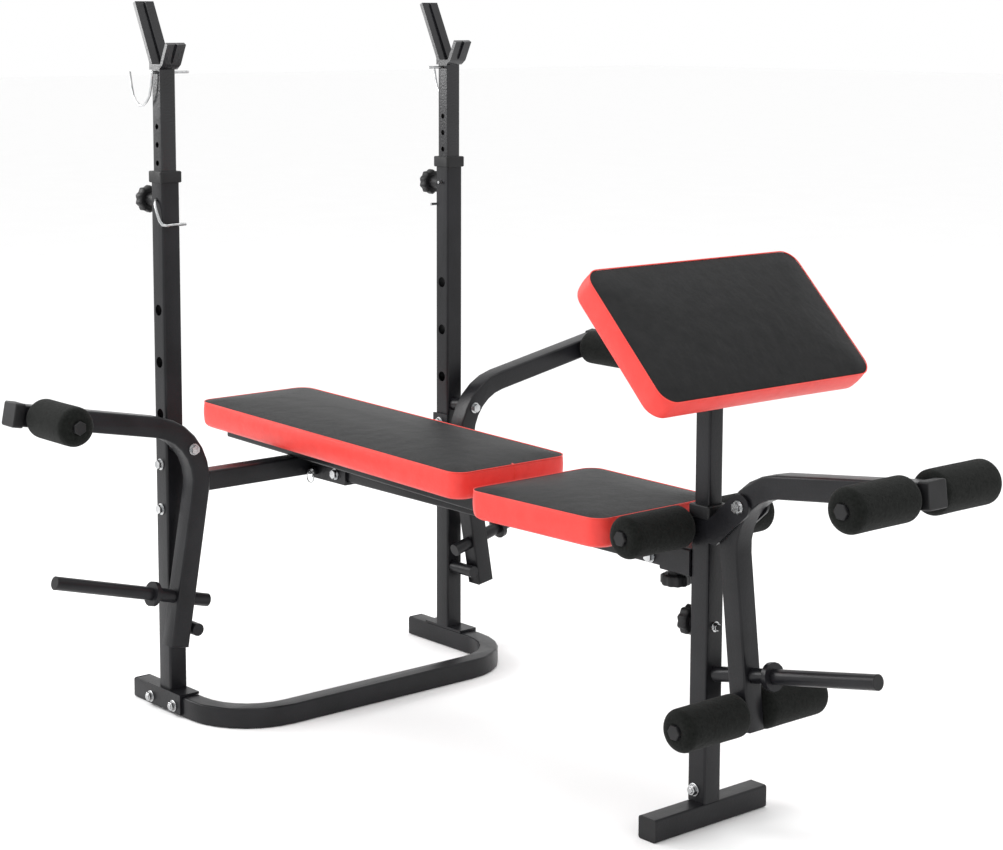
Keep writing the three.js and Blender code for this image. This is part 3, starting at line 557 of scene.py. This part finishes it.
def build_end_seam(pad, body):
    """The upright seam in the middle of the front end, where the side band's two ends are sewn."""
    vertices = pad.data.vertices
    end_x = max(vertex.co.x for vertex in vertices)
    middle = [v.co for v in vertices if abs(v.co.y) < 1 * MM and v.co.x > end_x - HEM_RADIUS]
    line = sorted(middle, key=lambda point: point.z)[1:]
    mesh = bmesh.new()
    rings = []
    for point in line:
        x = point.x - END_SEAM_SINK
        corners = [(x + out * MM, across * MM, point.z) for out, across in END_SEAM_SECTION]
        rings.append([mesh.verts.new(corner) for corner in corners])
    join_rings(mesh, rings, closed=False)
    name = f"{pad.name}_end_seam"
    # The end seam takes the lighter red: a painted highlight down the seam.
    add_piece(name, to_mesh(name, mesh), [SEAM_HIGHLIGHT_RED], body, pad.matrix_world.copy())


def build_cushions():
    back = build_cushion("back_cushion", "back_pad", "backrest", tilt=BACK_TILT)
    build_end_seam(back, "backrest")
    build_cushion("curl_cushion", "curl_pad", "curl_rest", tilt=CURL_TILT)
    low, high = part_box("seat_pad")
    length = high.x - low.x

    def narrow(x):
        """The seat is widest at its rear edge, and narrows towards the front."""
        return 1 - SEAT_TAPER * (x + length / 2) / length

    build_cushion("seat_cushion", "seat_pad", "frame", widen=narrow)


# ---- Foam rollers -----------------------------------------------------------------------------------


def roller_mesh(name, length):
    """A foam sleeve on z with soft round shoulders and a lip that grips the bar."""
    edge = ROLLER_RADIUS - SHOULDER
    end = [(ROLLER_BORE + out * MM, height * MM) for out, height in ROLLER_LIP]
    end.append((edge, 0.0))
    for i in range(1, SHOULDER_STEPS + 1):
        angle = math.pi / 2 * i / SHOULDER_STEPS
        end.append((edge + SHOULDER * math.sin(angle), SHOULDER - SHOULDER * math.cos(angle)))
    body = [(ROLLER_RADIUS * ROLLER_WAIST, length * share) for share in (0.25, 0.5, 0.75)]
    other_end = [(radius, length - height) for radius, height in reversed(end)]
    mesh = bmesh.new()
    rings = [add_ring(mesh, radius, height, ROLLER_SIDES) for radius, height in end + body + other_end]
    data = looped_mesh(name, mesh, rings)
    for vertex in data.vertices:
        outwards = Vector((vertex.co.x, vertex.co.y, 0)).normalized()
        vertex.co += outwards * noise.noise(vertex.co * WOBBLE_SCALE) * WOBBLE
    return data


def build_roller(kind, side):
    """A foam sleeve in place of a CAD roller. Butterfly rollers lie along x, and the others along y."""
    node = f"{kind}_{side}"
    name = f"{node}_foam"
    low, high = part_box(node)
    axis, direction = (0, (1, 0, 0)) if kind == "butterfly_roller" else (1, (0, 1, 0))
    start = (low + high) / 2
    start[axis] = low[axis]
    matrix = Matrix.Translation(start) @ towards(direction)
    sleeve = add_piece(name, roller_mesh(name, (high - low)[axis]), [FOAM], node, matrix)
    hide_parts(node)
    subdivide(sleeve, 1)


def build_roller_plug(kind, side, sign):
    """The hexagonal plug in the outer end of a roller's bar."""
    low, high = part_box(f"{kind}_{side}")
    place = (low + high) / 2
    if kind == "butterfly_roller":
        body = f"butterfly_arm_{side}"
        direction = (1, 0, 0)
        place.x = high.x
    else:
        body = "frame" if kind == "seat_roller" else "leg_developer"
        direction = (0, sign, 0)
        place.y = high.y if sign > 0 else low.y
    name = f"{kind}_{side}_plug"
    build_small_piece(name, [(HEX_PLUG, 6)], "black_plastic", body, place, direction, crisp=25)


def build_rollers():
    for kind in ROLLER_KINDS:
        for side, sign in SIDES:
            build_roller(kind, side)
            build_roller_plug(kind, side, sign)


# ---- Small fasteners and caps -----------------------------------------------------------------------


def build_small_piece(name, stacks, slot_name, body, place, direction, crisp, scale=1.0):
    """A piece of stacked rings that stands at the place and points in the direction.

    Its edges sharper than crisp degrees stay crisp.
    """
    mesh = bmesh.new()
    for layers, sides in stacks:
        add_stack(mesh, layers, sides)
    matrix = Matrix.Translation(place) @ towards(direction) @ Matrix.Scale(scale, 4)
    piece = add_piece(name, to_mesh(name, mesh), [FINISHES[slot_name]], body, matrix)
    split_edges(piece, crisp)


def build_bolt(name, place, direction, scale=1.0):
    """A washer, a chamfered hexagon head and the end of the shank."""
    stacks = [(WASHER, 40), (BOLT_HEAD, 6), (BOLT_CROWN, 36), (BOLT_END, 24)]
    build_small_piece(name, stacks, "chrome", "frame", place, direction, crisp=30, scale=scale)


def build_foot_bolts():
    """Two bolts through each upright's foot plate, and one through the front post's foot."""
    for side, sign in SIDES:
        low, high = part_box(f"upright_{side}")
        outer_face = high.y if sign > 0 else low.y
        build_bolt(f"foot_bolt_rear_{side}", (REAR_BOLT_X, outer_face, FOOT_BOLT_Z), (0, sign, 0))
        build_bolt(f"foot_bolt_front_{side}", (FRONT_BOLT_X, outer_face, FOOT_BOLT_Z), (0, sign, 0))
    low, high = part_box("front_post_collar")
    post_x = (low.x + high.x) / 2
    bolt_x = post_x - POST_BOLT_BACK
    build_bolt("front_foot_bolt", (bolt_x, -TUBE / 2, POST_BOLT_Z), (0, -1, 0))
    build_bolt("front_foot_nut", (bolt_x, TUBE / 2, POST_BOLT_Z), (0, 1, 0))
    build_bolt("curl_screw_nut", (post_x + TUBE / 2, 0, CURL_NUT_Z), (1, 0, 0), scale=0.8)


def build_peg_cap(name, body, tip, direction, sign=1):
    """A round cap in the tip of a weight peg, on the side that the sign gives."""
    place = Vector((UPRIGHT_X + tip[0] * MM, sign * tip[1] * MM, tip[2] * MM))
    pointing = (direction[0], sign * direction[1], direction[2])
    build_small_piece(name, [(PEG_CAP, 32)], "black_plastic", body, place, pointing, crisp=40)


def build_peg_caps():
    build_peg_cap("leg_peg_cap", "leg_developer", *LEG_PEG)
    for side, sign in SIDES:
        build_peg_cap(f"butterfly_{side}_peg_cap", f"butterfly_arm_{side}", *LEFT_PEG, sign)


# ---- Camera, light and floor ------------------------------------------------------------------------


def build_camera():
    """The view from the leg developer's end, to the right, at the height of the rack's top."""
    right = Vector((math.cos(CAMERA_YAW), math.sin(CAMERA_YAW), 0))
    ahead = Vector((-math.sin(CAMERA_YAW), math.cos(CAMERA_YAW), 0))
    forward = ahead * math.cos(CAMERA_PITCH) - Vector((0, 0, math.sin(CAMERA_PITCH)))
    up = right.cross(forward)
    camera = bpy.data.objects.new("camera", bpy.data.cameras.new("camera"))
    bpy.context.scene.collection.objects.link(camera)
    turn = Matrix((right, up, -forward)).transposed().to_4x4()
    camera.matrix_world = Matrix.Translation(CAMERA_PLACE) @ turn
    camera.data.sensor_width = CAMERA_SENSOR
    camera.data.lens = CAMERA_LENS
    camera.data.shift_x, camera.data.shift_y = CAMERA_SHIFT
    camera.data.clip_end = CAMERA_REACH
    bpy.context.scene.camera = camera


def build_floor():
    mesh = bmesh.new()
    bmesh.ops.create_grid(mesh, x_segments=FLOOR_CELLS, y_segments=FLOOR_CELLS, size=FLOOR_HALF)
    data = to_mesh("floor", mesh)
    data.materials.append(pale_floor())
    floor = bpy.data.objects.new("floor", data)
    floor.location.z = -FLOOR_DROP
    bpy.context.scene.collection.objects.link(floor)


def area_light(name, place, target, size, power):
    light = bpy.data.lights.new(name, "AREA")
    light.shape = "RECTANGLE"
    light.size, light.size_y = size
    light.energy = power
    lamp = bpy.data.objects.new(name, light)
    bpy.context.scene.collection.objects.link(lamp)
    lamp.location = place
    lamp.rotation_mode = "QUATERNION"
    lamp.rotation_quaternion = (Vector(target) - Vector(place)).to_track_quat("-Z", "Y")


def build_light():
    """Plain studio light: a bright room, a soft key, a fill, a top light and a card for the rack."""
    world = bpy.data.worlds.new("studio")
    world.use_nodes = True
    background = world.node_tree.nodes["Background"]
    background.inputs["Color"].default_value = (1, 1, 1, 1)
    background.inputs["Strength"].default_value = WORLD_STRENGTH
    bpy.context.scene.world = world
    area_light("key", place=(-1.5, -4.5, 3.5), target=(0, 0, 0.6), size=(3.0, 3.0), power=70)
    area_light("fill", place=(5.0, -0.5, 2.5), target=(0, 0, 0.5), size=(2.5, 2.5), power=25)
    area_light("top", place=(0.3, 0.3, 4.5), target=(0, 0, 0), size=(3.5, 3.0), power=60)
    area_light("side_card", place=(-2.3, -1.45, 1.75), target=(-0.65, 0, 1.15), size=(1.3, 1.3), power=34)
    bpy.context.scene.view_settings.view_transform = "Standard"


dress_cad_nodes()
build_cushions()
build_rollers()
build_foot_bolts()
build_peg_caps()
build_floor()
build_light()
build_camera()
